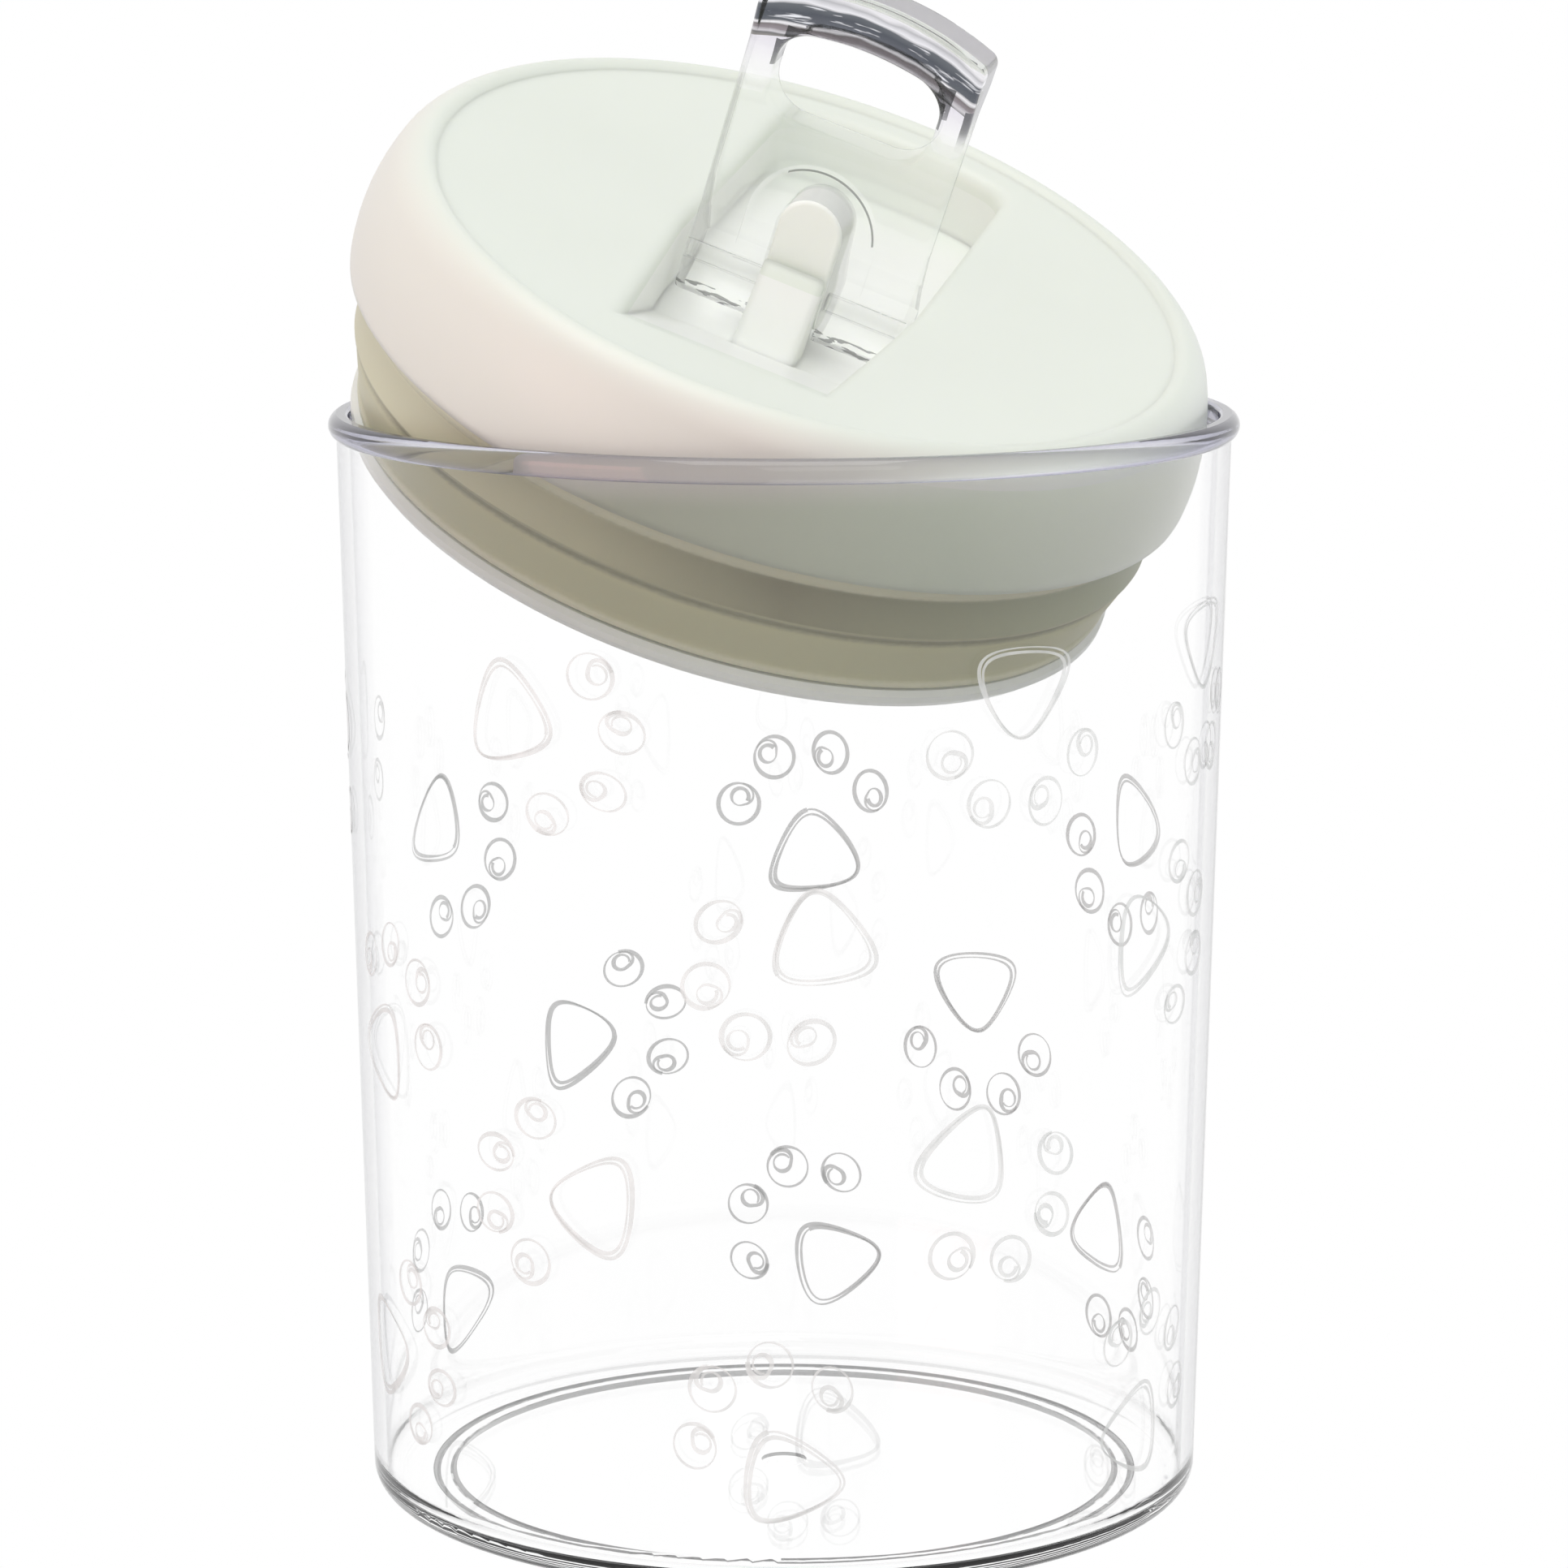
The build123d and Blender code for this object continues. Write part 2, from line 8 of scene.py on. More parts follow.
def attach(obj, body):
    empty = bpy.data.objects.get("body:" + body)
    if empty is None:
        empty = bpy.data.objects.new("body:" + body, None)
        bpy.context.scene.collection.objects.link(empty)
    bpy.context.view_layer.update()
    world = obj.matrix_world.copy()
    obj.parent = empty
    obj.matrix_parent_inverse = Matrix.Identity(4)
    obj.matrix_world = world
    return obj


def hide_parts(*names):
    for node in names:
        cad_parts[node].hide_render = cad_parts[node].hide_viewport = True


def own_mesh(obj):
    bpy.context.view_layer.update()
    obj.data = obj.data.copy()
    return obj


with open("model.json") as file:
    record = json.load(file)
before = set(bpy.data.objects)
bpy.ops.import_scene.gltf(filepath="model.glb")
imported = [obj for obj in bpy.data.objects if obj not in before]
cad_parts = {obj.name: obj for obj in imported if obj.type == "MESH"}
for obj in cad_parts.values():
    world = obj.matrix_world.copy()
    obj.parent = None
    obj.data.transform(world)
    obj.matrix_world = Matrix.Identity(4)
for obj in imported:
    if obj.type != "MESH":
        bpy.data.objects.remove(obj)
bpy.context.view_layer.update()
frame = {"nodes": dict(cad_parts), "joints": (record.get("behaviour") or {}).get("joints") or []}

MM = 0.001
WHITE = (1.0, 1.0, 1.0)

# The photograph's camera, found from the jar's rim, wall and foot
IMAGE_SIDE_PX = 1932
FOCAL_PX = 6907.4
CAMERA_PLACE = (0.0, -0.8906, 0.2694)
CAMERA_PITCH_DOWN = 0.1706
SENSOR_MM = 36.0

# The jar's outer wall, mm, as (height, radius) at both ends
WALL_LOW = (5.2, 67.2)
WALL_HIGH = (172.8, 71.2)

# Painted dark lines under the jar's floor, standing for refraction at its edges, mm: sides and edges of the
# foot ring, and the gate mark. Pairs of limits are (low, high), here and below.
RING_SIDE_HEIGHTS = (0.05, 1.15)
RING_SIDE_RADII = (53.05, 58.25)
RING_EDGE_TOP = 1.3
RING_INNER_EDGE = (53.8, 54.8)
RING_OUTER_EDGE = (56.4, 57.6)
GATE_REACH = 3.9
GATE_SIDE_HEIGHTS = (1.22, 1.78)

# Lever, mm in the lid's frame, most of them placing its painted reflections. Those of the grip begin at
# GRIP_START over the window's edge and follow an arch that falls off by GRIP_ARCH times the distance from the
# middle squared.
PIN_HEIGHT = 13.5
WINDOW_TOP = 56.7
SLOT_CENTRE_HEIGHT = 25.3
COLLAR_RADIUS = 10.8
FRONT_DEPTH = -2.0
GRIP_ARCH = 0.0112
GRIP_START = -0.6
GRIP_RISE = (44.0, 53.0)
DARKEST_PAINTED_STREAK = (2.7, 5.1)
RIGHT_EDGE = 17.5
RIGHT_EDGE_RISE = (46.0, 50.0)
RIGHT_EDGE_TOP = 53.5
WINDOW_WALL_ACROSS = (-14.2, 14.2)
WINDOW_WALL_DEPTHS = (-4.1, 4.5)
WINDOW_WALL_HEIGHTS = (48.8, 57.2)
COLLAR_LINE = (COLLAR_RADIUS - 0.54, COLLAR_RADIUS - 0.26)
COLLAR_LINE_BOTTOM = 1.8
COLLAR_LINE_LEFT = -6.0
FOOT_STREAKS_TOP = 10.6

# Cover, mm: a box round the well and the side's radii in the lid's frame, and the heights over the jar's foot
# between which it goes down into the mouth, the upper one first
WELL_ACROSS = (-21.0, 21.0)
WELL_DEPTHS = (-47.0, 57.0)
DISH_LEVEL = 17.0
SIDE_RADII = (62.0, 67.0)
IN_JAR_HEIGHTS = (174.0, 168.0)

# Seal: the steps round it, then in mm in the lid's frame the heights of its band under the cover and its half
# section as (radius, height), and the heights over the jar's foot where it rises over the rim
SEAL_STEPS = 180
UPPER_BAND = (-10.0, -3.2)
OVER_RIM_HEIGHTS = (172.0, 180.0)
SEAL_SECTION = [
    (58.2, -0.15), (62.0, -0.15), (66.0, -0.15), (66.7, -0.4), (67.0, -1.1), (66.9, -2.0),
    (66.4, -2.6), (66.15, -3.1), (66.05, -4.5), (65.95, -7.0), (65.95, -9.0), (66.05, -9.9),
    (65.9, -10.4), (65.3, -10.8), (64.9, -11.2), (64.95, -11.7), (65.05, -12.3), (64.8, -13.5),
    (64.0, -16.0), (63.2, -18.4), (62.75, -19.4), (62.9, -19.8), (63.0, -20.4), (62.8, -20.9),
    (62.2, -21.15), (60.0, -21.2), (58.2, -21.2), (58.2, -11.0),
]

# Paw prints on the jar: azimuth in degrees, height in mm, turn from upright in degrees
PAW_PLACES = [
    (-85, 104, 127), (-115, 62, 87), (-66, 69.5, -141), (-89, 20, 25), (-126, 136, -108), (-59, 141.5, 177),
    (-37, 98, -89), (-36, 20, -29), (-156, 78, -28), (-22, 143, -174), (-158, 30, -84),
    (86, 91.5, -5), (150, 103, 131), (123, 61, 88), (60, 70, 178), (82, 20, -43), (35, 33, 133),
    (147, 20, -33), (29, 104, -153), (182, 128, 150),
]

# Pad: radius in mm, then factors of its outline, and how far apart its two rounds run in mm
PAD_RADIUS = 7.0
PAD_WIDTH = 1.02
PAD_HEIGHT = 0.95
PAD_CORNERS = 0.15
PAD_UNEVEN = 0.07
PAD_SKEW = 0.10
PAD_ROUNDS_APART = 0.45
PAD_STEPS = 160

# Toes: degrees from upright and mm from the pad's middle, then the oval and the loop that it winds in to
TOES = [(-46, 15.6), (-15, 18.6), (15, 18.6), (48, 15.6)]
TOE_RADIUS = 3.6
TOE_SLIMNESS = 0.88
TOE_TURNS = 2.3
TOE_STEPS = 90
LOOP_START = 0.40
LOOP_BLEND = 0.22
LOOP_SHRINK = 0.58
LOOP_SHIFT = 1.2

# The drawn line, mm, and how much its width swells and ripples along it
LINE_HALF_WIDTH = 0.26
LINE_LIFT = 0.05
LINE_SWELL = 0.4
LINE_RIPPLE = 0.25

# Painted reflections up the front of the grip, dark and white streaks: mm above the window's edge, colour
GRIP_PAINTED_REFLECTIONS = [
    (-1.0, (0.12, 0.11, 0.10)), (-0.1, (0.03, 0.03, 0.03)), (0.3, (0.50, 0.48, 0.50)),
    (0.9, (0.10, 0.08, 0.09)), (1.7, (0.05, 0.04, 0.04)), (2.1, (0.95, 0.95, 0.95)),
    (2.5, (0.015, 0.018, 0.024)), (4.2, (0.006, 0.008, 0.012)), (5.2, (0.02, 0.025, 0.03)),
    (5.6, (0.90, 0.92, 0.94)), (6.4, (0.30, 0.31, 0.32)), (7.0, (0.90, 0.91, 0.91)),
]
GRIP_PAINTED_REFLECTIONS_REACH = (-1.0, 8.0)

# Limits on noise: where painted gleams show in the grip's darkest streak, and over which the feet's painted
# streaks show
PAINTED_GLEAM_NOISE = (0.56, 0.66)
FOOT_PAINTED_STREAK_NOISE = 0.54

# Shares turned away between which the bead loses its clearness and shows its painted dark reflection
BEAD_PAINTED_EDGE_TURNED = (0.45, 0.90)

# Tones up the seal, with painted shade in the fold and under the cover: mm in the lid's frame, colour
SEAL_BODY = (0.56, 0.55, 0.34)
SEAL_LIP = (0.70, 0.69, 0.50)
SEAL_TONES_AND_PAINTED_SHADE = [
    (-22.0, SEAL_LIP), (-19.8, SEAL_LIP), (-19.2, SEAL_BODY), (-12.0, SEAL_BODY),
    (-11.2, (0.26, 0.25, 0.15)), (-10.2, (0.46, 0.45, 0.28)), (-7.0, (0.38, 0.37, 0.23)),
    (-3.4, (0.28, 0.27, 0.16)), (-2.4, SEAL_LIP), (0.0, SEAL_LIP),
]
SEAL_TONES_REACH = (-22.0, 0.0)

# Tones towards the back of the well: mm in the lid's frame, colour
WELL_TONES = [(44.0, (0.95, 0.97, 0.92)), (52.0, (0.91, 0.95, 0.88))]
WELL_TONES_REACH = (40.0, 54.0)

# Tones from left to right, as the light falls: mm along the jar's X, colour
COVER_IN_JAR_PAINTED_SHADE = [
    (-60.0, (0.46, 0.45, 0.32)), (-20.0, (0.52, 0.55, 0.42)), (25.0, (0.68, 0.74, 0.60)),
    (55.0, (0.93, 0.98, 0.84)),
]
COVER_SIDE_PAINTED_SHADING = [
    (-60.0, (0.88, 0.88, 0.80)), (-5.0, (0.76, 0.72, 0.66)), (30.0, (0.82, 0.83, 0.76)),
    (60.0, (0.92, 0.97, 0.90)),
]
SEAL_UPPER_PAINTED_SHADING = [
    (-62.0, (0.78, 0.76, 0.52)), (-30.0, (0.56, 0.54, 0.34)), (0.0, (0.22, 0.20, 0.11)),
    (50.0, (0.44, 0.48, 0.31)),
]
LEFT_TO_RIGHT = (-70.0, 70.0)

LAMP_TARGET = (0.0, 0.0, 0.15)
SOFT_LIGHT = 0.58
FLOOR_HALF_SIDE = 4.0


def add_camera():
    data = bpy.data.cameras.new("camera")
    data.sensor_width = SENSOR_MM
    data.lens = FOCAL_PX / IMAGE_SIDE_PX * SENSOR_MM
    data.clip_start = 0.05
    data.clip_end = 20.0
    camera = bpy.data.objects.new("camera", data)
    camera.location = CAMERA_PLACE
    camera.rotation_euler = (math.pi / 2 - CAMERA_PITCH_DOWN, 0.0, 0.0)
    bpy.context.collection.objects.link(camera)
    bpy.context.scene.camera = camera


def lid_frame():
    """Origin on the lid's axis at the cover's lower edge, x along the lever's pin, z up the axis."""
    joints = {joint["name"]: joint for joint in frame["joints"]}
    up = Vector(joints["seal_lift"]["axis"]).normalized()
    along_pin = -Vector(joints["lever_flip"]["axis"]).normalized()
    back = up.cross(along_pin)
    origin = Vector(joints["lever_flip"]["pos_m"]) - PIN_HEIGHT * MM * up
    place = Matrix((along_pin, back, up)).transposed().to_4x4()
    place.translation = origin
    return place


LID_FRAME = lid_frame()


def calculate(tree, operation, *values):
    """One Math node; each value is a socket or a number."""
    node = tree.nodes.new("ShaderNodeMath")
    node.operation = operation
    for socket, value in zip(node.inputs, values):
        if isinstance(value, (int, float)):
            socket.default_value = value
        else:
            tree.links.new(value, socket)
    return node.outputs[0]


def product(tree, *factors):
    result = factors[0]
    for factor in factors[1:]:
        result = calculate(tree, "MULTIPLY", result, factor)
    return result


def distance(tree, first, second):
    """Length of the two sockets taken at right angles."""
    squares = calculate(tree, "ADD", product(tree, first, first), product(tree, second, second))
    return calculate(tree, "SQRT", squares)


def within(tree, value, limits):
    """1 where the value is between two limits, 0 elsewhere."""
    low, high = limits
    return calculate(tree, "COMPARE", value, (low + high) / 2, (high - low) / 2)


def share_between(tree, value, limits, interpolation="LINEAR"):
    """0 where the value is at the first limit, 1 where it is at the second."""
    share = tree.nodes.new("ShaderNodeMapRange")
    share.interpolation_type = interpolation
    share.inputs["From Min"].default_value = limits[0]
    share.inputs["From Max"].default_value = limits[1]
    tree.links.new(value, share.inputs["Value"])
    return share.outputs["Result"]


def smooth_share(tree, value, limits):
    return share_between(tree, value, limits, "SMOOTHSTEP")


def tone_along(tree, value, limits, stops):
    """A colour ramp over a socket's value between two limits; stops are (value, colour)."""
    low, high = limits
    ramp = tree.nodes.new("ShaderNodeValToRGB")
    elements = ramp.color_ramp.elements
    while len(elements) < len(stops):
        elements.new(0.5)
    for element, (place, colour) in zip(elements, stops):
        element.position = (place - low) / (high - low)
        element.color = (*colour, 1.0)
    tree.links.new(share_between(tree, value, limits), ramp.inputs["Fac"])
    return ramp.outputs["Color"]


def mix_colour(tree, share, first, second):
    """First colour where share is 0, second where it is 1; each is a socket or a colour."""
    node = tree.nodes.new("ShaderNodeMix")
    node.data_type = "RGBA"
    tree.links.new(share, node.inputs["Factor"])
    for name, value in (("A", first), ("B", second)):
        socket = [entry for entry in node.inputs if entry.name == name and entry.type == "RGBA"][0]
        if isinstance(value, tuple):
            socket.default_value = (*value, 1.0)
        else:
            tree.links.new(value, socket)
    return [entry for entry in node.outputs if entry.type == "RGBA"][0]


def facing_share(tree):
    """How much a surface turns away: 0 seen straight on, 1 edge on."""
    facing = tree.nodes.new("ShaderNodeLayerWeight")
    facing.inputs["Blend"].default_value = 0.5
    return facing.outputs["Facing"]


def facing_colour(tree, stops):
    return tone_along(tree, facing_share(tree), (0.0, 1.0), stops)


def jar_place(tree):
    """Position in the jar's frame, in mm, as three sockets."""
    where = tree.nodes.new("ShaderNodeTexCoord")
    split = tree.nodes.new("ShaderNodeSeparateXYZ")
    tree.links.new(where.outputs["Object"], split.inputs[0])
    return [calculate(tree, "DIVIDE", split.outputs[axis], MM) for axis in "XYZ"]


def lid_place(tree):
    """Position in the lid's frame, in mm, as three sockets: along the pin, to the back, up the axis."""
    where = tree.nodes.new("ShaderNodeTexCoord")
    away = tree.nodes.new("ShaderNodeVectorMath")
    away.operation = "SUBTRACT"
    away.inputs[1].default_value = LID_FRAME.translation
    tree.links.new(where.outputs["Object"], away.inputs[0])
    sockets = []
    for axis in LID_FRAME.to_3x3().col:
        along = tree.nodes.new("ShaderNodeVectorMath")
        along.operation = "DOT_PRODUCT"
        along.inputs[1].default_value = axis / MM
        tree.links.new(away.outputs[0], along.inputs[0])
        sockets.append(along.outputs["Value"])
    return sockets


def noise_bump(tree, shader, scale, strength):
    """Fine uneven surface of moulded plastic."""
    where = tree.nodes.new("ShaderNodeTexCoord")
    noise = tree.nodes.new("ShaderNodeTexNoise")
    bump = tree.nodes.new("ShaderNodeBump")
    noise.inputs["Scale"].default_value = scale
    noise.inputs["Detail"].default_value = 3.0
    bump.inputs["Strength"].default_value = strength
    bump.inputs["Distance"].default_value = 0.2 * MM
    tree.links.new(where.outputs["Object"], noise.inputs["Vector"])
    tree.links.new(noise.outputs["Fac"], bump.inputs["Height"])
    tree.links.new(bump.outputs["Normal"], shader.inputs["Normal"])


def mottle(tree, low, high, scale):
    """Slight colour variation over a piece."""
    where = tree.nodes.new("ShaderNodeTexCoord")
    noise = tree.nodes.new("ShaderNodeTexNoise")
    ramp = tree.nodes.new("ShaderNodeValToRGB")
    noise.inputs["Scale"].default_value = scale
    noise.inputs["Detail"].default_value = 2.0
    for element, place, colour in zip(ramp.color_ramp.elements, (0.35, 0.65), (low, high)):
        element.position = place
        element.color = (*colour, 1.0)
    tree.links.new(where.outputs["Object"], noise.inputs["Vector"])
    tree.links.new(noise.outputs["Fac"], ramp.inputs["Fac"])
    return ramp.outputs["Color"]


def stretched_noise(tree, across, up, scale_across, scale_up, detail=2.0):
    """Noise over two sockets, each with its own scale per mm."""
    place = tree.nodes.new("ShaderNodeCombineXYZ")
    tree.links.new(product(tree, across, scale_across), place.inputs["X"])
    tree.links.new(product(tree, up, scale_up), place.inputs["Y"])
    noise = tree.nodes.new("ShaderNodeTexNoise")
    noise.inputs["Scale"].default_value = 1.0
    noise.inputs["Detail"].default_value = detail
    tree.links.new(place.outputs[0], noise.inputs["Vector"])
    return noise.outputs["Fac"]


def new_material(name):
    """A node material, its node tree and its Principled shader."""
    material = bpy.data.materials.new(name)
    material.use_nodes = True
    tree = material.node_tree
    return material, tree, tree.nodes["Principled BSDF"]


def clear_material(name):
    material, tree, shader = new_material(name)
    shader.inputs["Transmission Weight"].default_value = 1.0
    shader.inputs["Roughness"].default_value = 0.0
    return material, tree, shader


def foot_ring_painted_lines(tree, radius, height):
    """1 on the sides and the two edges of the ring that the jar stands on, for painted dark lines."""
    on_side = product(tree, within(tree, height, RING_SIDE_HEIGHTS), within(tree, radius, RING_SIDE_RADII))
    low = calculate(tree, "LESS_THAN", height, RING_EDGE_TOP)
    inner_edge = within(tree, radius, RING_INNER_EDGE)
    outer_edge = within(tree, radius, RING_OUTER_EDGE)
    on_edge = product(tree, low, calculate(tree, "MAXIMUM", outer_edge, inner_edge))
    return calculate(tree, "MAXIMUM", on_side, on_edge)


def jar_plastic():
    """Clear plastic with painted reflections: violet-grey where it turns away, darker on the bead, foot ring
    and gate mark.
    """
    material, tree, shader = clear_material("clear_jar_plastic")
    shader.inputs["IOR"].default_value = 1.49
    x, y, height = jar_place(tree)
    radius = distance(tree, x, y)

    # Painted reflections: violet-grey where the wall is seen edge on, darker and sooner on the bead
    wall = facing_colour(tree, [(0.0, WHITE), (0.72, WHITE), (1.0, (0.40, 0.40, 0.47))])
    bead = facing_colour(tree, [
        (0.0, WHITE), (0.30, (0.86, 0.86, 0.90)), (0.62, (0.28, 0.28, 0.40)), (1.0, (0.16, 0.16, 0.24))])
    in_bead = calculate(tree, "GREATER_THAN", height, WALL_HIGH[0])
    colour = mix_colour(tree, in_bead, wall, bead)

    # Painted dark lines on the foot ring's sides and edges and at the gate mark, standing for refraction
    ring = foot_ring_painted_lines(tree, radius, height)
    colour = mix_colour(tree, ring, colour, (0.20, 0.20, 0.21))

    near_gate = calculate(tree, "LESS_THAN", radius, GATE_REACH)
    gate_side = within(tree, height, GATE_SIDE_HEIGHTS)
    colour = mix_colour(tree, product(tree, near_gate, gate_side), colour, (0.30, 0.30, 0.31))
    tree.links.new(colour, shader.inputs["Base Color"])

    # Where the bead turns away it is less clear, so its painted dark reflection shows
    bead_side = product(tree, in_bead, share_between(tree, facing_share(tree), BEAD_PAINTED_EDGE_TURNED))
    dull = calculate(tree, "MAXIMUM", product(tree, bead_side, 0.35), product(tree, ring, 0.8))
    tree.links.new(calculate(tree, "SUBTRACT", 1.0, dull), shader.inputs["Transmission Weight"])
    return material


def grip_painted_reflections(tree, across, over_window):
    """Painted reflections: dark and white streaks that follow the window's arch, with painted gleams in the
    darkest one.
    """
    wobble = stretched_noise(tree, across, over_window, 0.09, 0.22)
    streak = calculate(tree, "ADD", over_window, calculate(tree, "MULTIPLY_ADD", wobble, 2.4, -1.2))
    painted_bands = tone_along(tree, streak, GRIP_PAINTED_REFLECTIONS_REACH, GRIP_PAINTED_REFLECTIONS)
    painted_gleam = share_between(tree, stretched_noise(tree, across, over_window, 0.13, 1.1, 3.0), PAINTED_GLEAM_NOISE)
    in_darkest = within(tree, streak, DARKEST_PAINTED_STREAK)
    return mix_colour(tree, product(tree, painted_gleam, in_darkest), painted_bands, (0.90, 0.95, 1.0))


def lever_painted_dark_places(tree, across, depth, height, in_front):
    """1 on the right edge beside the window and on the wall of the window's upper half, where dark reflections
    are painted.
    """
    at_edge = calculate(tree, "GREATER_THAN", across, RIGHT_EDGE)
    under_grip = calculate(tree, "LESS_THAN", height, RIGHT_EDGE_TOP)
    on_edge = product(tree, at_edge, smooth_share(tree, height, RIGHT_EDGE_RISE), under_grip, in_front)
    between_faces = within(tree, depth, WINDOW_WALL_DEPTHS)
    in_window = within(tree, across, WINDOW_WALL_ACROSS)
    upper_half = within(tree, height, WINDOW_WALL_HEIGHTS)
    return calculate(tree, "MAXIMUM", on_edge, product(tree, between_faces, in_window, upper_half))


def lever_painted_dark_lines(tree, across, height, in_front):
    """1 on an arc over the right of the collar and on streaks along the lower edge of the feet, painted as
    dark reflections.
    """
    over_slot = calculate(tree, "SUBTRACT", height, SLOT_CENTRE_HEIGHT)
    on_collar = within(tree, distance(tree, across, over_slot), COLLAR_LINE)
    upper = calculate(tree, "GREATER_THAN", over_slot, COLLAR_LINE_BOTTOM)
    to_right = calculate(tree, "GREATER_THAN", across, COLLAR_LINE_LEFT)
    arc = product(tree, on_collar, upper, to_right)
    foot_noise = stretched_noise(tree, across, height, 0.28, 1.2)
    streaks = calculate(tree, "GREATER_THAN", foot_noise, FOOT_PAINTED_STREAK_NOISE)
    at_foot = calculate(tree, "LESS_THAN", height, FOOT_STREAKS_TOP)
    return product(tree, calculate(tree, "MAXIMUM", arc, product(tree, streaks, at_foot)), in_front)


def lever_plastic():
    """Thick clear plastic: faint at the feet, with painted reflections as dark and white streaks along the
    arched grip.
    """
    material, tree, shader = clear_material("clear_lever_plastic")
    across, depth, height = lid_place(tree)
    arch = product(tree, across, across, GRIP_ARCH)
    over_window = calculate(tree, "SUBTRACT", calculate(tree, "ADD", height, arch), WINDOW_TOP)
    in_front = calculate(tree, "LESS_THAN", depth, FRONT_DEPTH)
    raised = smooth_share(tree, height, GRIP_RISE)

    # Painted reflections: the raised grip darkens to near black edge on, the lower lever only a little
    raised_painted_edges = facing_colour(tree, [
        (0.0, (0.84, 0.81, 0.87)), (0.35, (0.76, 0.73, 0.80)), (0.60, (0.40, 0.38, 0.42)),
        (0.85, (0.04, 0.04, 0.05)), (1.0, (0.01, 0.01, 0.02))])
    faint = facing_colour(tree, [(0.0, WHITE), (0.80, (0.98, 0.99, 0.98)), (1.0, (0.84, 0.86, 0.84))])
    colour = mix_colour(tree, raised, faint, raised_painted_edges)
    on_grip = product(tree, in_front, calculate(tree, "GREATER_THAN", over_window, GRIP_START))
    colour = mix_colour(tree, on_grip, colour, grip_painted_reflections(tree, across, over_window))
    # Painted dark reflections on the right edge and the window's upper wall
    dark = lever_painted_dark_places(tree, across, depth, height, in_front)
    colour = mix_colour(tree, dark, colour, (0.03, 0.03, 0.035))
    # Painted dark reflections: a line on the collar's arc and streaks on the feet
    painted_lines = lever_painted_dark_lines(tree, across, height, in_front)
    colour = mix_colour(tree, painted_lines, colour, (0.10, 0.10, 0.10))
    tree.links.new(colour, shader.inputs["Base Color"])

    tree.links.new(calculate(tree, "MULTIPLY_ADD", raised, 0.16, 1.12), shader.inputs["IOR"])
    solid = calculate(tree, "MULTIPLY_ADD", raised, 0.60, 0.40)
    tree.links.new(calculate(tree, "MAXIMUM", solid, product(tree, painted_lines, 0.85)), shader.inputs["Alpha"])
    shader.inputs["Coat Weight"].default_value = 0.6
    shader.inputs["Coat Roughness"].default_value = 0.02
    return material


def pin_plastic():
    """The pin is hardly seen between the clear feet."""
    material, tree, shader = clear_material("clear_pin_plastic")
    shader.inputs["IOR"].default_value = 1.05
    shader.inputs["Alpha"].default_value = 0.15
    noise_bump(tree, shader, 900.0, 0.05)
    return material


def ivory_plastic(name, low, high, roughness):
    material, tree, shader = new_material(name)
    tree.links.new(mottle(tree, low, high, 18.0), shader.inputs["Base Color"])
    shader.inputs["Roughness"].default_value = roughness
    shader.inputs["Subsurface Weight"].default_value = 0.15
    shader.inputs["Subsurface Radius"].default_value = (4 * MM, 4 * MM, 3 * MM)
    shader.inputs["Subsurface Scale"].default_value = 1.0
    noise_bump(tree, shader, 900.0, 0.06)
    return material


def side_painted_shading(tree, colour, across, depth, height):
    """Painted light and shade: the side a little warmer than the top; its lower band sits in the jar and has
    painted shade, darker to the left.
    """
    on_side = smooth_share(tree, distance(tree, across, depth), SIDE_RADII)
    to_right, _, jar_height = jar_place(tree)
    # Painted light and shade on the side, from left to right
    side = tone_along(tree, to_right, LEFT_TO_RIGHT, COVER_SIDE_PAINTED_SHADING)
    colour = mix_colour(tree, on_side, colour, side)
    # Painted shade on the lower band inside the jar, darker to the left
    in_jar = smooth_share(tree, jar_height, IN_JAR_HEIGHTS)
    under_dish = calculate(tree, "LESS_THAN", height, DISH_LEVEL)
    lower = tone_along(tree, to_right, LEFT_TO_RIGHT, COVER_IN_JAR_PAINTED_SHADE)
    return mix_colour(tree, product(tree, in_jar, under_dish), colour, lower)


def well_tones(tree, colour, across, depth, height):
    """The well's walls pass light on to each other, so they are paler than the dish."""
    under_dish = calculate(tree, "LESS_THAN", height, DISH_LEVEL)
    inside = product(tree, within(tree, across, WELL_ACROSS), within(tree, depth, WELL_DEPTHS), under_dish)
    pale = tone_along(tree, depth, WELL_TONES_REACH, WELL_TONES)
    return mix_colour(tree, inside, colour, pale)


def cover_plastic():
    """Ivory with softened edges, painted light and shade on the side, and a well painted paler for the light
    its walls pass on.
    """
    material = ivory_plastic("cover_plastic", (0.84, 0.89, 0.80), (0.86, 0.91, 0.82), 0.35)
    tree = material.node_tree
    shader = tree.nodes["Principled BSDF"]
    across, depth, height = lid_place(tree)
    colour = shader.inputs["Base Color"].links[0].from_socket
    colour = side_painted_shading(tree, colour, across, depth, height)
    colour = well_tones(tree, colour, across, depth, height)
    tree.links.new(colour, shader.inputs["Base Color"])
    edge = tree.nodes.new("ShaderNodeBevel")
    edge.samples = 6
    edge.inputs["Radius"].default_value = 2.5 * MM
    bump = shader.inputs["Normal"].links[0].from_node
    tree.links.new(edge.outputs["Normal"], bump.inputs["Normal"])
    return material


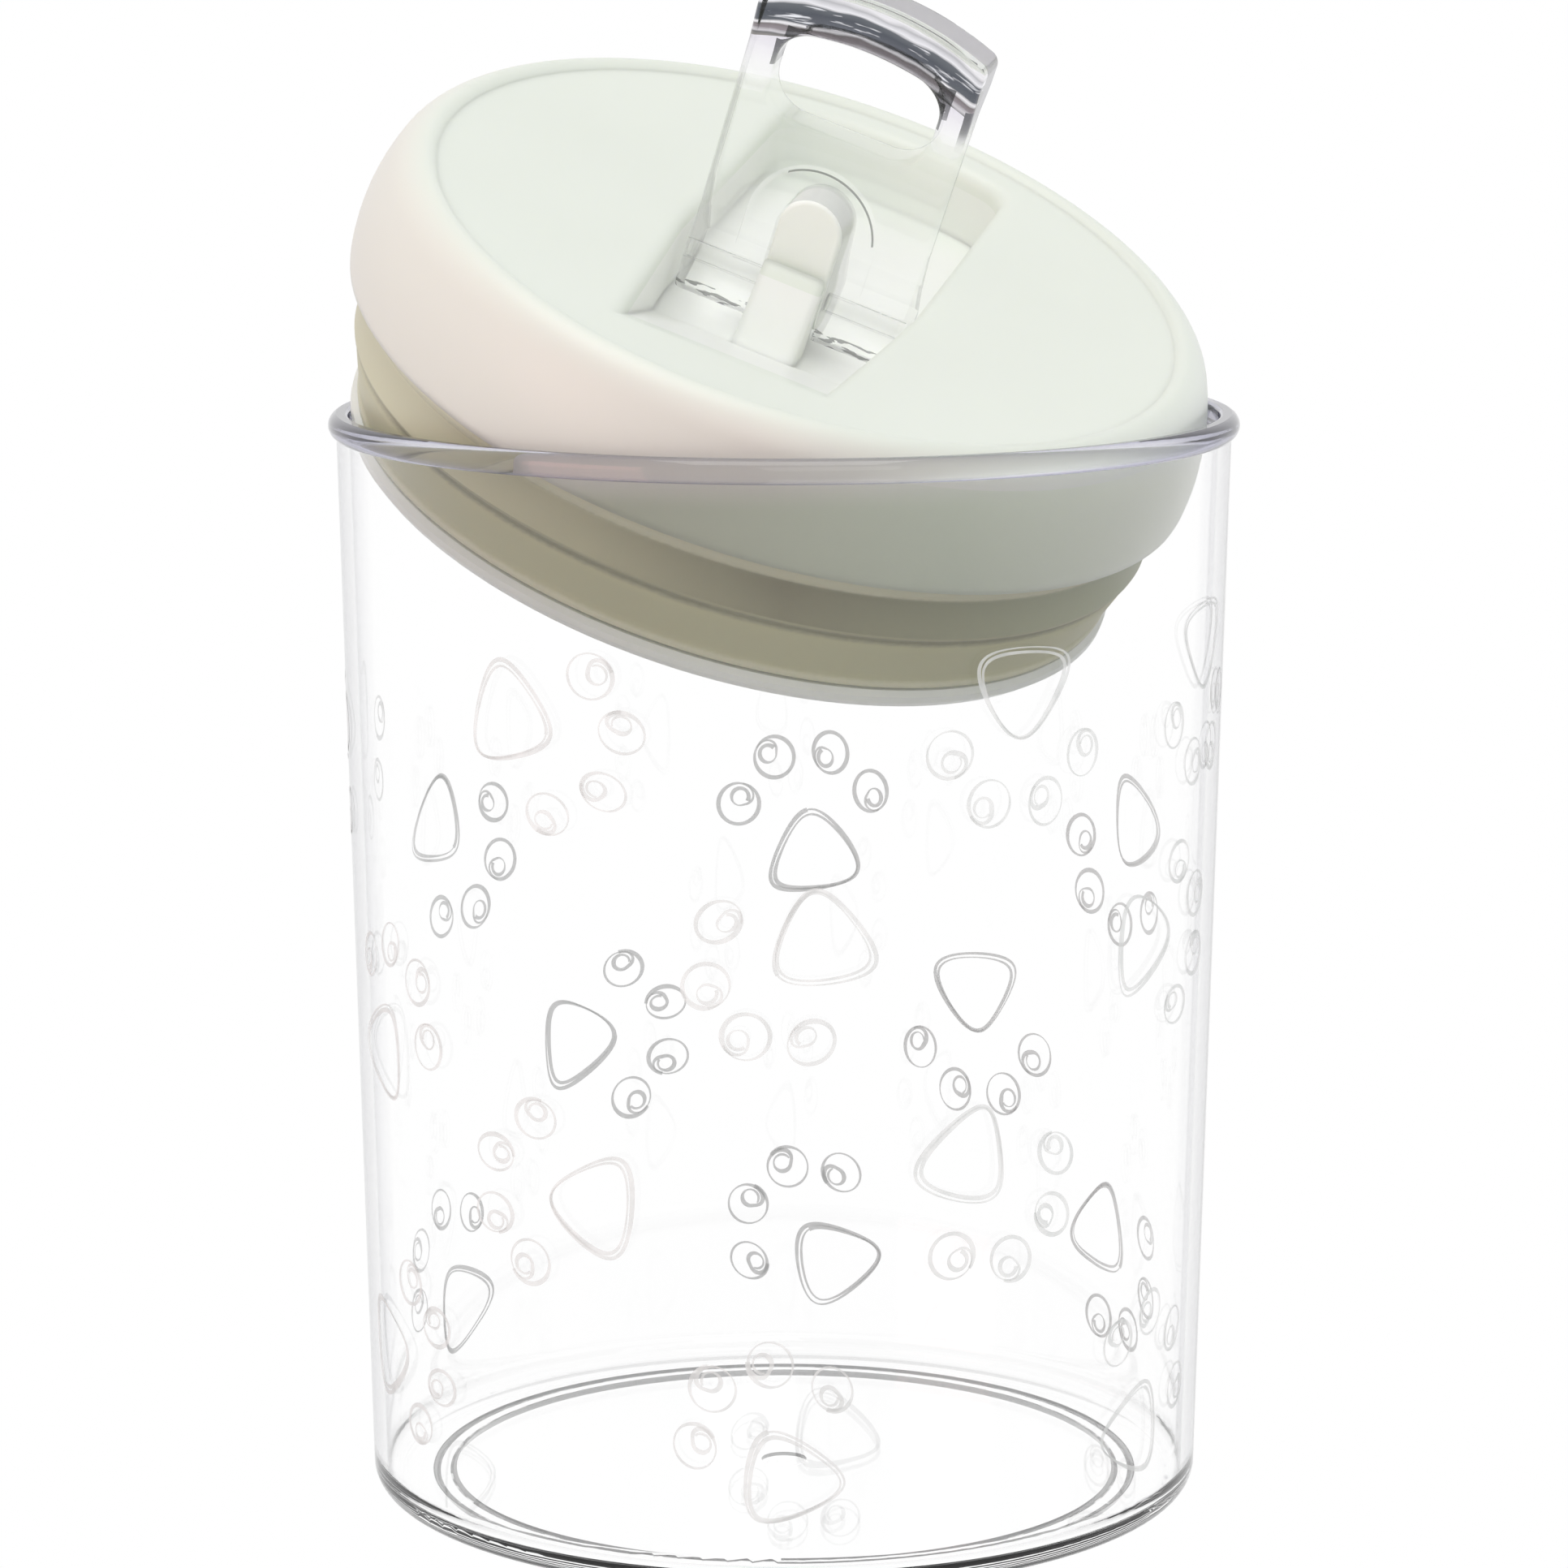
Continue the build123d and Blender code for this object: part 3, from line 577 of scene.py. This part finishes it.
def silicone():
    """Khaki silicone, paler on the thin lips, with painted shade in the fold and under the cover and painted
    light over the rim.
    """
    material, tree, shader = new_material("seal_silicone")
    height = lid_place(tree)[2]
    to_right, _, jar_height = jar_place(tree)
    noise = tree.nodes.new("ShaderNodeTexNoise")
    noise.inputs["Scale"].default_value = 140.0
    noise.inputs["Detail"].default_value = 3.0
    uneven = calculate(tree, "MULTIPLY_ADD", noise.outputs["Fac"], 0.6, height)
    # Painted shade in the fold and under the cover
    colour = tone_along(tree, uneven, SEAL_TONES_REACH, SEAL_TONES_AND_PAINTED_SHADE)
    # Painted light and shade on the band under the cover, darkest in the middle
    in_upper_band = within(tree, height, UPPER_BAND)
    painted_upper_shading = tone_along(tree, to_right, LEFT_TO_RIGHT, SEAL_UPPER_PAINTED_SHADING)
    colour = mix_colour(tree, product(tree, in_upper_band, 0.7), colour, painted_upper_shading)
    # Painted light where the seal rises over the rim
    painted_light_over_rim = product(tree, smooth_share(tree, jar_height, OVER_RIM_HEIGHTS), 0.4)
    colour = mix_colour(tree, painted_light_over_rim, colour, (0.80, 0.82, 0.68))
    tree.links.new(colour, shader.inputs["Base Color"])
    shader.inputs["Roughness"].default_value = 0.5
    shader.inputs["Subsurface Weight"].default_value = 0.1
    shader.inputs["Subsurface Radius"].default_value = (3 * MM, 2 * MM, 1 * MM)
    noise_bump(tree, shader, 700.0, 0.08)
    return material


def print_ink():
    """Thin white ink with small breaks in its tone."""
    material, tree, shader = new_material("paw_print_ink")
    ink = mottle(tree, (0.80, 0.82, 0.81), (0.97, 0.98, 0.97), 260.0)
    tree.links.new(ink, shader.inputs["Base Color"])
    shader.inputs["Roughness"].default_value = 0.6
    shader.inputs["Alpha"].default_value = 0.65
    return material


def steel():
    material, tree, shader = new_material("steel")
    tree.links.new(mottle(tree, (0.55, 0.56, 0.57), (0.68, 0.69, 0.70), 60.0), shader.inputs["Base Color"])
    shader.inputs["Metallic"].default_value = 1.0
    shader.inputs["Roughness"].default_value = 0.25
    noise_bump(tree, shader, 1500.0, 0.1)
    return material


def new_object(name, vertices, faces):
    """A smooth-shaded mesh object, linked to the scene."""
    mesh = bpy.data.meshes.new(name)
    mesh.from_pydata(vertices, [], faces)
    mesh.update()
    for face in mesh.polygons:
        face.use_smooth = True
    thing = bpy.data.objects.new(name, mesh)
    bpy.context.collection.objects.link(thing)
    return thing


def add_seal():
    """Soft ring with a lip at each end and a fold at mid height, carried with the lid in place of the gasket.
    """
    count = len(SEAL_SECTION)
    vertices = []
    for i in range(SEAL_STEPS):
        turn = 2 * math.pi * i / SEAL_STEPS
        for radius, height in SEAL_SECTION:
            local = Vector((radius * math.cos(turn), radius * math.sin(turn), height)) * MM
            vertices.append(LID_FRAME @ local)
    faces = []
    for i in range(SEAL_STEPS):
        ahead = (i + 1) % SEAL_STEPS
        for j in range(count):
            below = (j + 1) % count
            faces.append((i * count + j, i * count + below, ahead * count + below, ahead * count + j))
    ring = new_object("seal_ring", vertices, faces)
    ring.data.materials.append(silicone())
    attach(ring, "lid")
    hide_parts("gasket")
    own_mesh(ring)


def wall_point(azimuth, height):
    """A point just off the jar's outer wall, in metres."""
    share = (height - WALL_LOW[0]) / (WALL_HIGH[0] - WALL_LOW[0])
    radius = WALL_LOW[1] + share * (WALL_HIGH[1] - WALL_LOW[1]) + LINE_LIFT
    return (radius * math.cos(azimuth) * MM, radius * math.sin(azimuth) * MM, height * MM)


def pad_path(number):
    """Rounded triangle, a little different each time, drawn twice round, so its line is double in places."""
    path = []
    lean = 2.4 * number
    for i in range(PAD_STEPS + 1):
        turn = 4 * math.pi * i / PAD_STEPS
        size = PAD_RADIUS * (1.0 + PAD_UNEVEN * math.cos(turn - lean))
        size += PAD_ROUNDS_APART * math.sin(turn / 2 + 0.7 + lean)
        across = -math.sin(turn) + PAD_CORNERS * math.sin(2 * turn)
        up = math.cos(turn) + PAD_CORNERS * math.cos(2 * turn) + PAD_SKEW * math.sin(lean) * math.sin(turn)
        path.append((PAD_WIDTH * size * across, PAD_HEIGHT * size * up))
    return path


def toe_path(lean):
    """Oval that winds in to a small loop at one side."""
    path = []
    for i in range(TOE_STEPS + 1):
        share = i / TOE_STEPS
        turn = 2 * TOE_TURNS * math.pi * share + lean
        wound = min(max((share - LOOP_START) / LOOP_BLEND, 0.0), 1.0)
        wound = wound * wound * (3 - 2 * wound)
        radius = TOE_RADIUS * (1 - LOOP_SHRINK * wound)
        shift = LOOP_SHIFT * wound
        slimness = TOE_SLIMNESS + 0.1 * math.sin(lean)
        across = slimness * radius * math.cos(turn) + shift * math.cos(lean)
        up = radius * math.sin(turn) + shift * math.sin(lean)
        path.append((across, up))
    return path


def add_line(vertices, faces, path, middle, azimuth, height, turn):
    """A ribbon on the wall: the path is moved to its middle, turned, then wrapped round the jar."""
    start = len(vertices)
    for i, (x, y) in enumerate(path):
        before = path[max(i - 1, 0)]
        after = path[min(i + 1, len(path) - 1)]
        run = math.hypot(after[0] - before[0], after[1] - before[1])
        side = (-(after[1] - before[1]) / run, (after[0] - before[0]) / run)
        stroke = 9.0 * i / len(path) + 5.0 * turn
        width = LINE_HALF_WIDTH * (1.0 + LINE_SWELL * math.sin(stroke) + LINE_RIPPLE * math.sin(3.1 * stroke))
        for sign in (-1, 1):
            px = middle[0] + x + sign * width * side[0]
            py = middle[1] + y + sign * width * side[1]
            across = px * math.cos(turn) - py * math.sin(turn)
            up = px * math.sin(turn) + py * math.cos(turn)
            vertices.append(wall_point(azimuth + across / WALL_LOW[1], height + up))
    for i in range(len(path) - 1):
        corner = start + 2 * i
        faces.append((corner, corner + 1, corner + 3, corner + 2))


def add_paw_prints():
    """Line-drawn paws spread over the outside of the jar."""
    vertices = []
    faces = []
    for number, (azimuth_deg, height, turn_deg) in enumerate(PAW_PLACES):
        azimuth = math.radians(azimuth_deg)
        turn = math.radians(turn_deg)
        add_line(vertices, faces, pad_path(number), (0.0, 0.0), azimuth, height, turn)
        for toe_number, (toe_deg, reach) in enumerate(TOES):
            toe = math.radians(toe_deg)
            middle = (reach * math.sin(toe), reach * math.cos(toe))
            lean = 1.3 * toe_number + 2.1 * number
            add_line(vertices, faces, toe_path(lean), middle, azimuth, height, turn)
    prints = new_object("paw_prints", vertices, faces)
    prints.data.materials.append(print_ink())
    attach(prints, "jar")


def dress(material, *nodes):
    for node in nodes:
        for entry in frame["nodes"][node].material_slots:
            entry.material = material


def white_share(tree):
    """1 for rays straight from the camera, mirrored or through clear plastic, 0 once they have scattered."""
    seen = tree.nodes.new("ShaderNodeLightPath")
    direct = calculate(tree, "MAXIMUM", seen.outputs["Is Camera Ray"], seen.outputs["Is Glossy Ray"])
    direct = calculate(tree, "MAXIMUM", direct, seen.outputs["Is Transmission Ray"])
    unscattered = calculate(tree, "LESS_THAN", seen.outputs["Diffuse Depth"], 0.5)
    return product(tree, direct, unscattered)


def show_white(tree, usual, white, output):
    """The usual shader for scattered light, white for what is seen directly."""
    mix = tree.nodes.new("ShaderNodeMixShader")
    tree.links.new(white_share(tree), mix.inputs[0])
    tree.links.new(usual.outputs[0], mix.inputs[1])
    tree.links.new(white.outputs[0], mix.inputs[2])
    tree.links.new(mix.outputs[0], tree.nodes[output].inputs["Surface"])


def add_floor():
    side = FLOOR_HALF_SIDE
    mesh = bpy.data.meshes.new("floor")
    corners = [(-side, -side, 0), (side, -side, 0), (side, side, 0), (-side, side, 0)]
    mesh.from_pydata(corners, [], [(0, 1, 2, 3)])
    floor = bpy.data.objects.new("floor", mesh)
    bpy.context.collection.objects.link(floor)
    material, tree, shader = new_material("floor_white")
    shader.inputs["Base Color"].default_value = (0.9, 0.9, 0.9, 1.0)
    shader.inputs["Roughness"].default_value = 0.9
    glow = tree.nodes.new("ShaderNodeEmission")
    glow.inputs["Strength"].default_value = 1.0
    show_white(tree, shader, glow, "Material Output")
    floor.data.materials.append(material)


def add_world():
    world = bpy.data.worlds.new("studio")
    world.use_nodes = True
    tree = world.node_tree
    soft = tree.nodes["Background"]
    soft.inputs["Color"].default_value = (*WHITE, 1.0)
    soft.inputs["Strength"].default_value = SOFT_LIGHT
    white = tree.nodes.new("ShaderNodeBackground")
    white.inputs["Color"].default_value = (*WHITE, 1.0)
    white.inputs["Strength"].default_value = 1.0
    show_white(tree, soft, white, "World Output")
    bpy.context.scene.world = world


def add_lamp(name, place, size, watts, colour=WHITE):
    data = bpy.data.lights.new(name, "AREA")
    data.color = colour
    data.shape = "SQUARE"
    data.size = size
    data.energy = watts
    lamp = bpy.data.objects.new(name, data)
    lamp.location = place
    lamp.rotation_euler = (Vector(LAMP_TARGET) - Vector(place)).to_track_quat("-Z", "Y").to_euler()
    bpy.context.collection.objects.link(lamp)


dress(jar_plastic(), "jar")
dress(lever_plastic(), "lever")
dress(pin_plastic(), "pivot_pin")
dress(cover_plastic(), "lid_cover")
dress(ivory_plastic("ivory_plastic", (0.92, 0.96, 0.88), (0.94, 0.97, 0.91), 0.35),
      "cam_block", "pressure_plate", "plate_cap")
dress(ivory_plastic("inner_plastic", (0.62, 0.65, 0.55), (0.66, 0.69, 0.60), 0.5), "lid_base", "rod_bush")
dress(steel(), "base_screws", "pull_rod", "rod_washer", "rod_nut")

# The clear lever throws no dark shadow on the dish
frame["nodes"]["lever"].visible_shadow = False

add_seal()
add_paw_prints()
add_camera()
add_world()
add_floor()
add_lamp("key", (0.0, -0.35, 1.5), size=0.9, watts=6.0)
add_lamp("front_fill", (0.3, -1.4, 0.9), size=0.9, watts=3.0)
add_lamp("warm_left", (-1.1, -0.9, 0.35), size=0.8, watts=2.6, colour=(1.0, 0.52, 0.48))

bpy.context.scene.view_settings.view_transform = "Standard"
